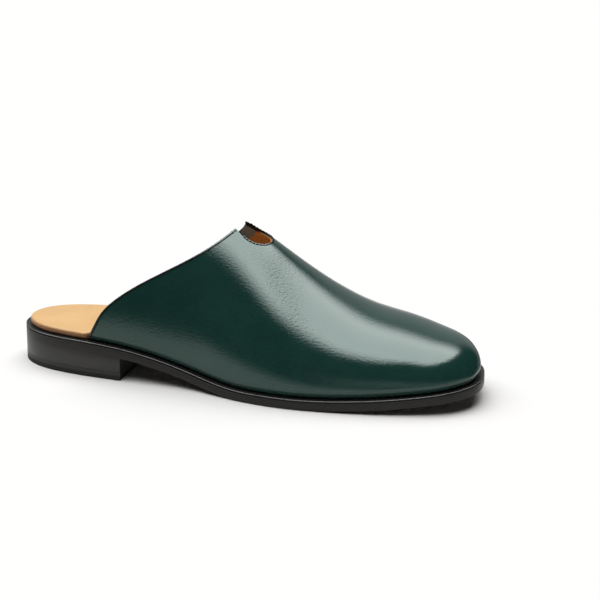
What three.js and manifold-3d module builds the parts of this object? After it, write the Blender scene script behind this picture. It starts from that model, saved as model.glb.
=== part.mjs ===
// Babouche slipper for the right foot: a backless shoe with a whole-cut upper and a low stacked heel.
// Millimetres. +X runs from heel to toe, -Y is the outer side, +Y the inner side, z = 0 is the floor.
import * as THREE from 'three';
import Module from 'manifold-3d';
import { mergeVertices } from 'three/addons/utils/BufferGeometryUtils.js';

const wasm = await Module();
wasm.setup();

// Driving dimensions of the sole
const SOLE_LENGTH = 300;
const BALL_WIDTH = 97;
const WAIST_WIDTH = 63;
const HEEL_WIDTH = 64;
const HEEL_LENGTH = 75.8;
const HEEL_HEIGHT = 16.6;
const BREAST_HEIGHT = 14.7;
const BREAST_HOLLOW = 2.5;
const TOE_SPRING = 9.5;
const OUTSOLE_THICKNESS = 4.4;
const WELT_THICKNESS = 1.8;
const WELT_WIDTH = 15;
const TOP_PIECE_THICKNESS = 5.5;
const HEEL_TAPER = 0.8;
const EDGE_BEVEL = 0.7;
const GAP = 0.3;

// Driving dimensions of the upper and the insole
const INSTEP_HEIGHT = 92;
const UPPER_WALL = 2.2;
const WELT_REVEAL = 2;
const FEATHER_TUCK = 3.2;
const TUCK_HEIGHT = 14;
const SLOT_LENGTH = 19.2;
const SLOT_MOUTH = 15.6;
const SLOT_SHIFT = 1.6;
const SLOT_WIDTH = 21;
const INSOLE_THICKNESS = 4.2;
const INSOLE_MARGIN = 3;
const INSOLE_ROLL = 1.9;
const INSOLE_STEP = 3;

// Mesh fineness
const SOLE_STATIONS = 44;
const UPPER_ROWS = 42;
const UPPER_COLUMNS = 34;
const ROLL_STEPS = 4;
const SLOT_STEPS = 14;
const BREAST_SEGMENTS = 96;
const OUTLINE_PROBE = 1e-4;
const SURFACE_PROBE = 1e-3;
const MERGE_DISTANCE = 1e-4;

// Plan of the sole: at is a share of its length from the heel, and outer and inner are the distances
// of the two edges from the centre line, as shares of the width that each row follows.
const PLAN = [
  { at: 0, width: HEEL_WIDTH, outer: 0, inner: 0 },
  { at: 0.06, width: HEEL_WIDTH, outer: 0.375, inner: 0.377 },
  { at: 0.12, width: HEEL_WIDTH, outer: 0.461, inner: 0.462 },
  { at: 0.2, width: HEEL_WIDTH, outer: 0.508, inner: 0.497 },
  { at: 0.3, width: WAIST_WIDTH, outer: 0.538, inner: 0.462 },
  { at: 0.4, width: WAIST_WIDTH, outer: 0.573, inner: 0.452 },
  { at: 0.5, width: BALL_WIDTH, outer: 0.449, inner: 0.351 },
  { at: 0.6, width: BALL_WIDTH, outer: 0.499, inner: 0.433 },
  { at: 0.68, width: BALL_WIDTH, outer: 0.496, inner: 0.485 },
  { at: 0.76, width: BALL_WIDTH, outer: 0.466, inner: 0.5 },
  { at: 0.83, width: BALL_WIDTH, outer: 0.425, inner: 0.483 },
  { at: 0.89, width: BALL_WIDTH, outer: 0.373, inner: 0.433 },
  { at: 0.94, width: BALL_WIDTH, outer: 0.313, inner: 0.357 },
  { at: 0.975, width: BALL_WIDTH, outer: 0.229, inner: 0.252 },
  { at: 1, width: BALL_WIDTH, outer: 0.036, inner: -0.036 },
];

// Sections of the upper: height is a share of the instep height, crest is how far the ridge lies to
// the inner side as a share of the ball width, and fullness squares the section's shoulders.
const SECTIONS = [
  { at: 0.15, height: 0.65, crest: 0.006, fullness: 0 },
  { at: 0.3, height: 0.92, crest: 0.026, fullness: 0 },
  { at: 0.42, height: 1, crest: 0.073, fullness: 0 },
  { at: 0.5, height: 0.955, crest: 0.08, fullness: 0 },
  { at: 0.58, height: 0.79, crest: 0.078, fullness: 0.01 },
  { at: 0.66, height: 0.615, crest: 0.078, fullness: 0.02 },
  { at: 0.74, height: 0.475, crest: 0.078, fullness: 0.03 },
  { at: 0.82, height: 0.39, crest: 0.078, fullness: 0.035 },
  { at: 0.89, height: 0.31, crest: 0.073, fullness: 0.035 },
  { at: 0.945, height: 0.24, crest: 0.06, fullness: 0.03 },
  { at: 0.98, height: 0.15, crest: 0.042, fullness: 0.02 },
  { at: 1, height: 0, crest: -0.036, fullness: 0 },
];

// Topline: turn is the share of the way from the feather line up to the ridge, and outer and inner are
// the places of the two sides' edges as shares of the length. The inner side is cut lower.
const TOPLINE = [
  { turn: 0, outer: 0.173, inner: 0.177 },
  { turn: 0.1, outer: 0.191, inner: 0.198 },
  { turn: 0.2, outer: 0.215, inner: 0.241 },
  { turn: 0.3, outer: 0.265, inner: 0.306 },
  { turn: 0.42, outer: 0.341, inner: 0.37 },
  { turn: 0.55, outer: 0.405, inner: 0.424 },
  { turn: 0.7, outer: 0.449, inner: 0.461 },
  { turn: 0.86, outer: 0.472, inner: 0.475 },
  { turn: 1, outer: 0.479, inner: 0.479 },
];

// Underside of the sole, as shares of its length: the heel seat is level up to its end, and the tread
// is flat between its back and its front. SPRING_POWER bends the toe spring up from there.
const SEAT_END_SHARE = 0.14;
const TREAD_BACK_SHARE = 0.54;
const TREAD_FRONT_SHARE = 0.633;
const SPRING_POWER = 1.7;

const SEAT_END = lengthwise(SEAT_END_SHARE);
const TREAD_BACK = lengthwise(TREAD_BACK_SHARE);
const TREAD_FRONT = lengthwise(TREAD_FRONT_SHARE);
const BREAST_X = lengthwise(HEEL_LENGTH / SOLE_LENGTH);
const WELT_TOP = OUTSOLE_THICKNESS + GAP + WELT_THICKNESS;

// The x of a share of the sole's length from the heel.
function lengthwise(share) {
  return SOLE_LENGTH * (share - 1 / 2);
}

function clamp01(value) {
  return Math.min(Math.max(value, 0), 1);
}

function smoothStep(from, to, value) {
  const share = clamp01((value - from) / (to - from));
  return share * share * (3 - 2 * share);
}

// Natural cubic spline through the given points, as a function of x.
function spline(xs, ys) {
  const last = xs.length - 1;
  const bend = xs.map(() => 0);
  const pivot = xs.map(() => 0);
  for (let i = 1; i < last; i += 1) {
    const before = xs[i] - xs[i - 1];
    const after = xs[i + 1] - xs[i];
    const turn = (ys[i + 1] - ys[i]) / after - (ys[i] - ys[i - 1]) / before;
    const divisor = 2 * (before + after) - before * pivot[i - 1];
    pivot[i] = after / divisor;
    bend[i] = (6 * turn - before * bend[i - 1]) / divisor;
  }
  for (let i = last - 1; i > 0; i -= 1) {
    bend[i] -= pivot[i] * bend[i + 1];
  }
  return (x) => {
    let i = 0;
    while (i < last - 1 && x > xs[i + 1]) {
      i += 1;
    }
    const step = xs[i + 1] - xs[i];
    const left = (xs[i + 1] - x) / step;
    const right = (x - xs[i]) / step;
    const curved = (left ** 3 - left) * bend[i] + (right ** 3 - right) * bend[i + 1];
    return left * ys[i] + right * ys[i + 1] + (curved * step * step) / 6;
  };
}

// A station runs from 0 at the heel to 1 at the toe, with even steps around rounded ends.
function stationOf(share) {
  return Math.acos(1 - 2 * share) / Math.PI;
}

function stationX(station) {
  return (-SOLE_LENGTH / 2) * Math.cos(Math.PI * station);
}

// The plan's two edges as one loop: stations below 0 and above 1 carry on along the inner side.
function makePlanEdge() {
  const outerRows = PLAN.map((row) => [stationOf(row.at), -row.width * row.outer]);
  const innerRows = PLAN.map((row) => [2 - stationOf(row.at), row.width * row.inner]);
  const loop = [...outerRows, ...innerRows.reverse().slice(1, -1)];
  const rows = [-2, 0, 2].flatMap((turn) => loop.map(([station, y]) => [station + turn, y]));
  return spline(rows.map((row) => row[0]), rows.map((row) => row[1]));
}

const planEdge = makePlanEdge();

// Point of the sole's outline at a station, moved inwards by inset.
function outline(station, inset) {
  const alongX = SOLE_LENGTH * Math.PI * OUTLINE_PROBE * Math.sin(Math.PI * station);
  const alongY = planEdge(station + OUTLINE_PROBE) - planEdge(station - OUTLINE_PROBE);
  const length = Math.hypot(alongX, alongY);
  const x = stationX(station) - (alongY / length) * inset;
  const y = planEdge(station) + (alongX / length) * inset;
  return [x, y];
}

// Height of the outsole's underside above the floor.
function underside(x) {
  if (x < BREAST_X) {
    const fall = clamp01((x - SEAT_END) / (BREAST_X - SEAT_END));
    return HEEL_HEIGHT - (HEEL_HEIGHT - BREAST_HEIGHT) * fall * fall;
  }
  if (x < TREAD_BACK) {
    const share = (x - BREAST_X) / (TREAD_BACK - BREAST_X);
    const seatSlope = (-2 * (HEEL_HEIGHT - BREAST_HEIGHT)) / (BREAST_X - SEAT_END);
    const drop = BREAST_HEIGHT * (1 - 3 * share ** 2 + 2 * share ** 3);
    return drop + seatSlope * (TREAD_BACK - BREAST_X) * share * (1 - share) ** 2;
  }
  const rise = clamp01((x - TREAD_FRONT) / (SOLE_LENGTH / 2 - TREAD_FRONT));
  return TOE_SPRING * rise ** SPRING_POWER;
}

// Top of the welt, on which the upper and the insole sit with a small gap.
function featherHeight(x) {
  return underside(x) + WELT_TOP + GAP;
}

function sectionSpline(column) {
  return spline(SECTIONS.map((row) => stationOf(row.at)), SECTIONS.map((row) => row[column]));
}

const heightShare = sectionSpline('height');
const crestShare = sectionSpline('crest');
const fullnessAt = sectionSpline('fullness');
const outerTopline = spline(TOPLINE.map((row) => row.turn), TOPLINE.map((row) => stationOf(row.outer)));
const innerTopline = spline(TOPLINE.map((row) => row.turn), TOPLINE.map((row) => stationOf(row.inner)));

// Station of the topline at a section angle.
function toplineAt(angle) {
  const turn = angle / (Math.PI / 2);
  return turn < 1 ? outerTopline(turn) : innerTopline(2 - turn);
}

// Outside of the last at a station and an angle, 0 at the outer feather line and PI at the inner one.
// The third value is the rise above the feather line.
function lastSurface(station, angle) {
  const [outerX, outerY] = outline(station, WELT_REVEAL);
  const [innerX, innerY] = outline(-station, WELT_REVEAL);
  const fullness = fullnessAt(station);
  const across = (Math.cos(angle) - fullness * Math.cos(3 * angle)) / (1 - fullness);
  const up = (Math.sin(angle) + fullness * Math.sin(3 * angle)) / (1 - fullness);
  const outerWeight = (1 + Math.cos(angle)) / 2;
  const middle = (outerY + innerY) / 2;
  const half = (innerY - outerY) / 2;
  const crestShift = BALL_WIDTH * crestShare(station) - middle;
  return new THREE.Vector3(
    outerX * outerWeight + innerX * (1 - outerWeight),
    middle - half * across + crestShift * Math.sin(angle) ** 2,
    INSTEP_HEIGHT * heightShare(station) * up,
  );
}

function lastNormal(station, angle) {
  const probe = SURFACE_PROBE;
  const inside = Math.min(station, 1 - 2 * probe);
  const along = lastSurface(inside + probe, angle).sub(lastSurface(inside - probe, angle));
  const around = lastSurface(inside, angle + probe).sub(lastSurface(inside, angle - probe));
  return along.cross(around).normalize();
}

// Point of the upper, depth below its outside. Near the feather line the wall tucks in under the foot.
function upperPoint(station, angle, depth) {
  const normal = lastNormal(station, angle);
  const point = lastSurface(station, angle);
  const tuck = FEATHER_TUCK * clamp01(1 - point.z / TUCK_HEIGHT) ** 2;
  const level = Math.hypot(normal.x, normal.y);
  point.addScaledVector(normal, -depth);
  point.x -= (normal.x / level) * tuck;
  point.y -= (normal.y / level) * tuck;
  point.z += featherHeight(point.x);
  return point;
}

function geometryOf(points, triangles) {
  const geometry = new THREE.BufferGeometry();
  const positions = points.flatMap((point) => [point.x, point.y, point.z]);
  geometry.setAttribute('position', new THREE.Float32BufferAttribute(positions, 3));
  geometry.setIndex(triangles.flat());
  return geometry;
}

function solidOf(geometry) {
  const bare = geometry.clone();
  bare.deleteAttribute('normal');
  bare.deleteAttribute('uv');
  const merged = mergeVertices(bare, MERGE_DISTANCE);
  return new wasm.Manifold(new wasm.Mesh({
    numProp: 3,
    vertProperties: new Float32Array(merged.attributes.position.array),
    triVerts: new Uint32Array(merged.index.array),
  }));
}

function geometryOfSolid(solid) {
  const mesh = solid.getMesh();
  const geometry = new THREE.BufferGeometry();
  geometry.setAttribute('position', new THREE.BufferAttribute(mesh.vertProperties.slice(), 3));
  geometry.setIndex(new THREE.BufferAttribute(mesh.triVerts.slice(), 1));
  geometry.computeVertexNormals();
  return geometry;
}

// Loop of points around the sole from the heel to lastStation, outer side first.
function soleLoop(level, lastStation) {
  const stationAt = (i) => (lastStation * i) / SOLE_STATIONS;
  const pointAt = (station) => {
    const [x, y] = outline(station, level.inset(stationX(station)));
    return new THREE.Vector3(x, y, level.height(x));
  };
  const outer = [];
  const inner = [];
  for (let i = 0; i <= SOLE_STATIONS; i += 1) {
    outer.push(pointAt(stationAt(i)));
  }
  for (let i = SOLE_STATIONS - (lastStation === 1 ? 1 : 0); i > 0; i -= 1) {
    inner.push(pointAt(-stationAt(i)));
  }
  return [...outer, ...inner];
}

// Quads between ring k and ring k + 1 of equal loops.
function wallTriangles(loopSize, lower, upper) {
  const triangles = [];
  for (let i = 0; i < loopSize; i += 1) {
    const next = (i + 1) % loopSize;
    const a = lower * loopSize + i;
    const b = lower * loopSize + next;
    const c = upper * loopSize + next;
    const d = upper * loopSize + i;
    triangles.push([a, b, c], [a, c, d]);
  }
  return triangles;
}

// Strips across a loop, from each point of the outer side to the one opposite on the inner side.
function capTriangles(loopSize, start, facesUp) {
  const triangles = [];
  const opposite = (i) => start + ((loopSize - i) % loopSize);
  const half = Math.floor(loopSize / 2);
  for (let i = 0; i < half; i += 1) {
    const quad = [start + i, start + i + 1, opposite(i + 1), opposite(i)];
    triangles.push([quad[0], quad[1], quad[2]], [quad[0], quad[2], quad[3]]);
  }
  const whole = triangles.filter((corners) => new Set(corners).size === 3);
  return facesUp ? whole : whole.map(([a, b, c]) => [a, c, b]);
}

// Solid slab of the sole's outline through rings from the bottom up.
function soleSlab(rings, lastStation = 1) {
  const loops = rings.map((ring) => soleLoop(ring, lastStation));
  const loopSize = loops[0].length;
  const triangles = [
    ...capTriangles(loopSize, 0, false),
    ...capTriangles(loopSize, (loops.length - 1) * loopSize, true),
  ];
  for (let k = 0; k < loops.length - 1; k += 1) {
    triangles.push(...wallTriangles(loopSize, k, k + 1));
  }
  return geometryOf(loops.flat(), triangles);
}

// Closed band around the sole: its rings run up the outside and down the inside.
function soleBand(rings) {
  const loops = rings.map((ring) => soleLoop(ring, 1));
  const loopSize = loops[0].length;
  const triangles = loops.flatMap((_, k) => wallTriangles(loopSize, k, (k + 1) % loops.length));
  return geometryOf(loops.flat(), triangles);
}

function ring(inset, height) {
  return { inset: typeof inset === 'function' ? inset : () => inset, height };
}

function makeOutsole() {
  return soleSlab([
    ring(EDGE_BEVEL, underside),
    ring(0, (x) => underside(x) + EDGE_BEVEL),
    ring(0, (x) => underside(x) + OUTSOLE_THICKNESS - EDGE_BEVEL / 2),
    ring(EDGE_BEVEL / 2, (x) => underside(x) + OUTSOLE_THICKNESS),
  ]);
}

function makeWelt() {
  const bottom = (x) => underside(x) + OUTSOLE_THICKNESS + GAP;
  const top = (x) => underside(x) + WELT_TOP;
  const bevel = EDGE_BEVEL / 2;
  return soleBand([
    ring(bevel, bottom),
    ring(0, (x) => bottom(x) + bevel),
    ring(0, (x) => top(x) - bevel),
    ring(bevel, top),
    ring(WELT_WIDTH, top),
    ring(WELT_WIDTH, bottom),
  ]);
}

// Long upright cylinder that hollows the breast of the heel.
function breastCutter() {
  const half = HEEL_WIDTH / 2;
  const radius = (half ** 2 + BREAST_HOLLOW ** 2) / (2 * BREAST_HOLLOW);
  const geometry = new THREE.CylinderGeometry(radius, radius, 4 * HEEL_HEIGHT, BREAST_SEGMENTS);
  geometry.rotateX(Math.PI / 2);
  geometry.rotateZ(Math.PI / 2);
  geometry.translate(BREAST_X - BREAST_HOLLOW + radius, 0, 0);
  return solidOf(geometry);
}

function makeHeelBlock(bottomHeight, topHeight) {
  const insetAt = (x, height) => (HEEL_TAPER * (underside(x) - height(x))) / HEEL_HEIGHT;
  const block = soleSlab([
    ring((x) => insetAt(x, bottomHeight) + EDGE_BEVEL / 2, bottomHeight),
    ring((x) => insetAt(x, bottomHeight), (x) => bottomHeight(x) + EDGE_BEVEL / 2),
    ring((x) => insetAt(x, topHeight), topHeight),
  ], stationOf(HEEL_LENGTH / SOLE_LENGTH));
  return geometryOfSolid(solidOf(block).subtract(breastCutter()));
}

function makeTopPiece() {
  return makeHeelBlock(() => 0, () => TOP_PIECE_THICKNESS);
}

function makeHeelStack() {
  return makeHeelBlock(() => TOP_PIECE_THICKNESS + GAP, (x) => underside(x) - GAP);
}

// The insole's edge is bare behind the upper and steps in to pass inside the upper's wall.
function makeInsole() {
  const upperBack = lengthwise(TOPLINE[0].outer);
  const covered = WELT_REVEAL + FEATHER_TUCK + UPPER_WALL + GAP;
  const stepEnd = upperBack - 2 * GAP;
  const margin = (x) => {
    const inside = smoothStep(stepEnd - INSOLE_STEP, stepEnd, x);
    return INSOLE_MARGIN + (covered - INSOLE_MARGIN) * inside;
  };
  const rings = [
    ring((x) => margin(x) + EDGE_BEVEL, featherHeight),
    ring(margin, (x) => featherHeight(x) + EDGE_BEVEL),
  ];
  for (let i = 0; i <= ROLL_STEPS; i += 1) {
    const angle = (Math.PI / 2) * (i / ROLL_STEPS);
    const inset = INSOLE_ROLL * (1 - Math.cos(angle));
    const drop = INSOLE_ROLL * (1 - Math.sin(angle));
    rings.push(ring((x) => margin(x) + inset, (x) => featherHeight(x) + INSOLE_THICKNESS - drop));
  }
  return soleSlab(rings);
}

// Two skins of points from the topline to the toe, each closed into one point at the toe's tip.
function upperShell() {
  const points = [];
  const skinSize = UPPER_ROWS * (UPPER_COLUMNS + 1) + 1;
  const columnAngle = (j) => {
    const share = j / UPPER_COLUMNS;
    return Math.PI * share - Math.sin(2 * Math.PI * share) / 4;
  };
  [0, UPPER_WALL].forEach((depth) => {
    for (let i = 0; i < UPPER_ROWS; i += 1) {
      for (let j = 0; j <= UPPER_COLUMNS; j += 1) {
        const angle = columnAngle(j);
        const back = toplineAt(angle);
        points.push(upperPoint(back + (1 - back) * (i / UPPER_ROWS), angle, depth));
      }
    }
    points.push(upperPoint(1, 0, depth));
  });
  const index = (skin, i, j) => {
    const inSkin = i === UPPER_ROWS ? skinSize - 1 : i * (UPPER_COLUMNS + 1) + j;
    return skin * skinSize + inSkin;
  };
  const triangles = [];
  const quad = (a, b, c, d) => {
    [[a, b, c], [a, c, d]].forEach((corners) => {
      if (new Set(corners).size === 3) {
        triangles.push(corners);
      }
    });
  };
  for (let i = 0; i < UPPER_ROWS; i += 1) {
    for (let j = 0; j < UPPER_COLUMNS; j += 1) {
      quad(index(0, i, j), index(0, i + 1, j), index(0, i + 1, j + 1), index(0, i, j + 1));
      quad(index(1, i, j), index(1, i, j + 1), index(1, i + 1, j + 1), index(1, i + 1, j));
    }
    quad(index(1, i, 0), index(1, i + 1, 0), index(0, i + 1, 0), index(0, i, 0));
    const end = UPPER_COLUMNS;
    quad(index(0, i, end), index(0, i + 1, end), index(1, i + 1, end), index(1, i, end));
  }
  for (let j = 0; j < UPPER_COLUMNS; j += 1) {
    quad(index(0, 0, j), index(0, 0, j + 1), index(1, 0, j + 1), index(1, 0, j));
  }
  return solidOf(geometryOf(points, triangles));
}

// The slot beside the ridge widens from its mouth to a round front end.
function slotCutter() {
  const crestStation = toplineAt(Math.PI / 2);
  const crestX = stationX(crestStation);
  const middleY = BALL_WIDTH * crestShare(crestStation) - SLOT_SHIFT;
  const radius = SLOT_WIDTH / 2;
  const roundX = SLOT_LENGTH - radius;
  const lean = Math.atan2(radius - SLOT_MOUTH / 2, roundX);
  const shape = new THREE.Shape();
  const behind = -SLOT_LENGTH;
  const halfBehind = SLOT_MOUTH / 2 + behind * Math.tan(lean);
  shape.moveTo(behind, -halfBehind);
  shape.absarc(roundX, 0, radius, -Math.PI / 2 - lean, Math.PI / 2 + lean, false);
  shape.lineTo(behind, halfBehind);
  const geometry = new THREE.ExtrudeGeometry(shape, {
    depth: INSTEP_HEIGHT,
    bevelEnabled: false,
    curveSegments: SLOT_STEPS,
  });
  geometry.translate(crestX, middleY, INSTEP_HEIGHT / 2);
  return solidOf(geometry);
}

function makeUpper() {
  return geometryOfSolid(upperShell().subtract(slotCutter()));
}

function leatherMaterial(color, roughness) {
  return new THREE.MeshStandardMaterial({ color, roughness, metalness: 0 });
}

const slipper = new THREE.Group();

function addPiece(name, geometry, material) {
  geometry.computeVertexNormals();
  const mesh = new THREE.Mesh(geometry, material);
  mesh.name = name;
  slipper.add(mesh);
}

addPiece('top_piece', makeTopPiece(), leatherMaterial(0x1c1b1a, 0.7));
addPiece('heel_stack', makeHeelStack(), leatherMaterial(0x2e2c2b, 0.45));
addPiece('outsole', makeOutsole(), leatherMaterial(0x2b2a29, 0.5));
addPiece('welt', makeWelt(), leatherMaterial(0x232323, 0.4));
addPiece('insole', makeInsole(), leatherMaterial(0xe3b983, 0.55));
addPiece('upper', makeUpper(), leatherMaterial(0x0e2f28, 0.15));

export default slipper;
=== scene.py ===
"""Babouche slipper for the right foot: leather finish, lining, stitching and a plain studio."""
import math

import bmesh
import bpy
import numpy as np
from mathutils import Matrix, Vector


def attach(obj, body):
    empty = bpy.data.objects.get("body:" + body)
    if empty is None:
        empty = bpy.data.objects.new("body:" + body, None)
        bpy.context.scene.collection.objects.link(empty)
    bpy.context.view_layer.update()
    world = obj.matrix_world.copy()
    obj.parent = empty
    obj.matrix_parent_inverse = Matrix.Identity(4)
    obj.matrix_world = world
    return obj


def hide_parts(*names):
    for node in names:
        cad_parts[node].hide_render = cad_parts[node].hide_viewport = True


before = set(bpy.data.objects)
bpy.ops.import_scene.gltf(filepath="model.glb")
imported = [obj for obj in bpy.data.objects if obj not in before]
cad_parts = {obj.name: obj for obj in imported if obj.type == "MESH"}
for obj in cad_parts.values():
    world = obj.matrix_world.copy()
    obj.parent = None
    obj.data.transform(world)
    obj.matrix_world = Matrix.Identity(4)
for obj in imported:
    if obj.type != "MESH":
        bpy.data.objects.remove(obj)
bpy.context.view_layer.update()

# Sizes in millimetres, as in the solids, turned into metres when a mesh is made
MM = 0.001
SOLE_LENGTH = 300
BALL_WIDTH = 97
WAIST_WIDTH = 63
HEEL_WIDTH = 64
HEEL_LENGTH = 75.8
HEEL_HEIGHT = 16.6
BREAST_HEIGHT = 14.7
TOE_SPRING = 9.5
OUTSOLE_THICKNESS = 4.4
WELT_THICKNESS = 1.8
WELT_WIDTH = 15
TOP_PIECE_THICKNESS = 5.5
GAP = 0.3
INSTEP_HEIGHT = 92
UPPER_WALL = 2.2
WELT_REVEAL = 2
SLOT_LENGTH = 19.2
SLOT_MOUTH = 15.6
SLOT_SHIFT = 1.6
SLOT_WIDTH = 21
INSOLE_THICKNESS = 4.2
INSOLE_MARGIN = 3

# Sizes that only the finish has, or that are finer here than in the solids
FEATHER_TUCK = 2.6
TUCK_HEIGHT = 6
INSOLE_STEP = 1
SEAM = 0.02
LEATHER = 1.2
LAYER_GAP = 0.05
TOPLINE_ROUND = 0.6
LINING_BACK = 0.8
LINING_ROUND = 0.2
LINING_PROUD = 0.3
LINING_END = 0.8
FACING_STEP = 0.25
FACING_WIDTH = 8
FACING_BACK = 0.5
FACING_ROUND = 0.1
STITCH_PITCH = 2.2
STITCH_LENGTH = 1.5
STITCH_RADIUS = 0.3
STITCH_INSET = 1.1
SLOT_STITCH_INSET = 0.7
# Sizes of the dark strip of painted shade under the topline stitches
STITCH_SHADE_WIDTH = 0.9
STITCH_SHADE_DEPTH = 0.1
STITCH_SHADE_RISE = 0.03
WELT_STITCH_PITCH = 2.6
WELT_STITCH_LENGTH = 1.9
WELT_STITCH_RADIUS = 0.24
WELT_STITCH_INSET = 2.6
BEAD_RADIUS = 0.25
GROOVE_DEPTH = 0.7
GROOVE_HEIGHT = 0.75
GROOVE_BEVEL = 0.15
WELT_CHANNEL_INSET = 1
WELT_CHANNEL_WIDTH = 0.5
WELT_CHANNEL_DEPTH = 0.3
WELT_CHANNEL_BEVEL = 0.15
INSOLE_ROUND = 1.9
OUTSOLE_ROUND = 0.5
OUTSOLE_ROUND_START = -1
OUTSOLE_ROUND_END = 5
TOP_PIECE_ROUND = 0.05

# Mesh fineness: rows from the topline to the toe and columns around, or stations along one side
LEATHER_MESH = (150, 130)
LINING_MESH = (110, 100)
FACING_MESH = (12, 130)
RIM_STEPS = 6
SLOT_STEPS = 48
SOLE_STATIONS = 180
HEEL_STATIONS = 90
STITCH_LINE_STEPS = 400
WELT_LINE_STATIONS = 500
BEAD_STEPS = 8
INSOLE_ROUND_STEPS = 8
HEEL_ROUND_STEPS = 2

# Step of a station or an angle for slopes along the upper, and rounds to find a place on it
PROBE = 1e-3
SEARCH_ROUNDS = 8

# Angles between faces, in degrees, above which an edge stays sharp
SHARP_ANGLE = 40
LEATHER_SHARP_ANGLE = 50
THREAD_SHARP_ANGLE = 80

# A stitch from end to end: share of its length and share of its radius
THREAD_PROFILE = [(0, 0.35), (0.12, 0.8), (0.5, 1), (0.88, 0.8), (1, 0.35)]
THREAD_SIDES = 6
THREAD_LIFT = 0.75
THREAD_ARCH = 3

# The slot's cutter from its lower to its upper end, as shares of the instep's height
CUTTER_LOW = 0.6
CUTTER_HIGH = 1.3

# Tones of each material from darker to lighter, as linear red, green and blue
GREEN_TONES = (0.010, 0.040, 0.033), (0.014, 0.050, 0.041)
PAINT_TONES = (0.004, 0.004, 0.004), (0.010, 0.010, 0.009)
FACING_TONES = (0.150, 0.215, 0.260), (0.200, 0.280, 0.340)
LINING_TONES = (0.58, 0.26, 0.060), (0.74, 0.34, 0.085)
CUT_EDGE_TONES = (0.42, 0.28, 0.16), (0.60, 0.42, 0.26)
INSOLE_TOP_TONES = (0.62, 0.375, 0.152), (0.69, 0.425, 0.182)
# The insole's side tones are painted shade on its rolled edge
INSOLE_SHADED_SIDE_TONES = (0.27, 0.120, 0.042), (0.33, 0.155, 0.056)
WELT_TONES = (0.010, 0.010, 0.010), (0.018, 0.018, 0.017)
BEAD_TONES = (0.012, 0.012, 0.012), (0.020, 0.020, 0.020)
SOLE_EDGE_TONES = (0.0155, 0.0145, 0.0135), (0.0205, 0.0190, 0.0175)
SOLE_UNDER_TONES = (0.030, 0.028, 0.026), (0.055, 0.050, 0.045)
RUBBER_TONES = (0.004, 0.004, 0.004), (0.0165, 0.0155, 0.0145)
# Black thread, also the colour of the painted shade in the stitch groove
THREAD_AND_GROOVE_SHADE_TONES = (0.004, 0.004, 0.004), (0.012, 0.012, 0.011)
TONE_START = 0.3
TONE_END = 0.7

# Polished leather: its relief from wide to fine, each as a noise scale and a height in metres
WAVES = (70, 0.00003)
WRINKLES = (950, 0.00007)
CELLS = (1500, 0.000012)
PORES = (2600, 0.00001)
WRINKLE_STRETCH = (0.45, 0.6, 1)
CLOUD_SCALE = 38
POLISH_SCALE = 900
POLISH_ROUGH = (0.1, 0.15)
POLISH_IOR = 1.52
POLISH_TINT = (0.87, 1, 0.955, 1)

# Plain leather: mottling is this much wider than the grain, and the roughness varies both ways
MOTTLE_WIDTH = 14
ROUGH_VARIATION = 0.06
SOLE_STRETCH = (1, 1, 4)

# Insole: painted shade, from the darker side's tones to the top's by how far a face looks up
INSOLE_MOTTLE_SCALE = 45
INSOLE_GRAIN = (1000, 0.00002)
INSOLE_ROUGH = (0.4, 0.5)
SIDE_LOOKS_UP = 0.25
TOP_LOOKS_UP = 0.95

# Heel rubber: darker and dull up to this height in metres, then polished, with an uneven border
DARK_DULL_UP_TO = 0.003
POLISHED_FROM = 0.0044
DARK_DULL_BORDER = 0.0012
RUBBER_GRAIN = (1400, 0.00003)
RUBBER_ROUGH = (0.75, 0.45)

# Plan of the sole: share of the length, width followed, outer and inner edge as shares of that width
PLAN = [
    (0, HEEL_WIDTH, 0, 0),
    (0.06, HEEL_WIDTH, 0.375, 0.377),
    (0.12, HEEL_WIDTH, 0.461, 0.462),
    (0.2, HEEL_WIDTH, 0.508, 0.497),
    (0.3, WAIST_WIDTH, 0.538, 0.462),
    (0.4, WAIST_WIDTH, 0.573, 0.452),
    (0.5, BALL_WIDTH, 0.449, 0.351),
    (0.6, BALL_WIDTH, 0.499, 0.433),
    (0.68, BALL_WIDTH, 0.496, 0.485),
    (0.76, BALL_WIDTH, 0.466, 0.5),
    (0.83, BALL_WIDTH, 0.425, 0.483),
    (0.89, BALL_WIDTH, 0.373, 0.433),
    (0.94, BALL_WIDTH, 0.313, 0.357),
    (0.975, BALL_WIDTH, 0.229, 0.252),
    (1, BALL_WIDTH, 0.036, -0.036),
]

# Sections of the upper: share of the length, height share, crest share of the ball width, fullness
SECTIONS = [
    (0.15, 0.65, 0.006, 0),
    (0.3, 0.92, 0.026, 0),
    (0.42, 1, 0.073, 0),
    (0.5, 0.955, 0.08, 0),
    (0.58, 0.79, 0.078, 0.01),
    (0.66, 0.615, 0.078, 0.02),
    (0.74, 0.475, 0.078, 0.03),
    (0.82, 0.39, 0.078, 0.035),
    (0.89, 0.31, 0.073, 0.035),
    (0.945, 0.24, 0.06, 0.03),
    (0.98, 0.15, 0.042, 0.02),
    (1, 0, -0.036, 0),
]

# Topline: turn up to the ridge, then the outer and inner side's place as shares of the length
TOPLINE = [
    (0, 0.173, 0.177),
    (0.1, 0.191, 0.198),
    (0.2, 0.215, 0.241),
    (0.3, 0.265, 0.306),
    (0.42, 0.341, 0.37),
    (0.55, 0.405, 0.424),
    (0.7, 0.449, 0.461),
    (0.86, 0.472, 0.475),
    (1, 0.479, 0.479),
]
SEAT_END_SHARE = 0.14
TREAD_BACK_SHARE = 0.54
TREAD_FRONT_SHARE = 0.633
SPRING_POWER = 1.7


def lengthwise(share):
    return SOLE_LENGTH * (share - 0.5)


SEAT_END = lengthwise(SEAT_END_SHARE)
TREAD_BACK = lengthwise(TREAD_BACK_SHARE)
TREAD_FRONT = lengthwise(TREAD_FRONT_SHARE)
BREAST_X = lengthwise(HEEL_LENGTH / SOLE_LENGTH)
WELT_TOP = OUTSOLE_THICKNESS + GAP + WELT_THICKNESS


# Shape functions of the last and the sole

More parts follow.
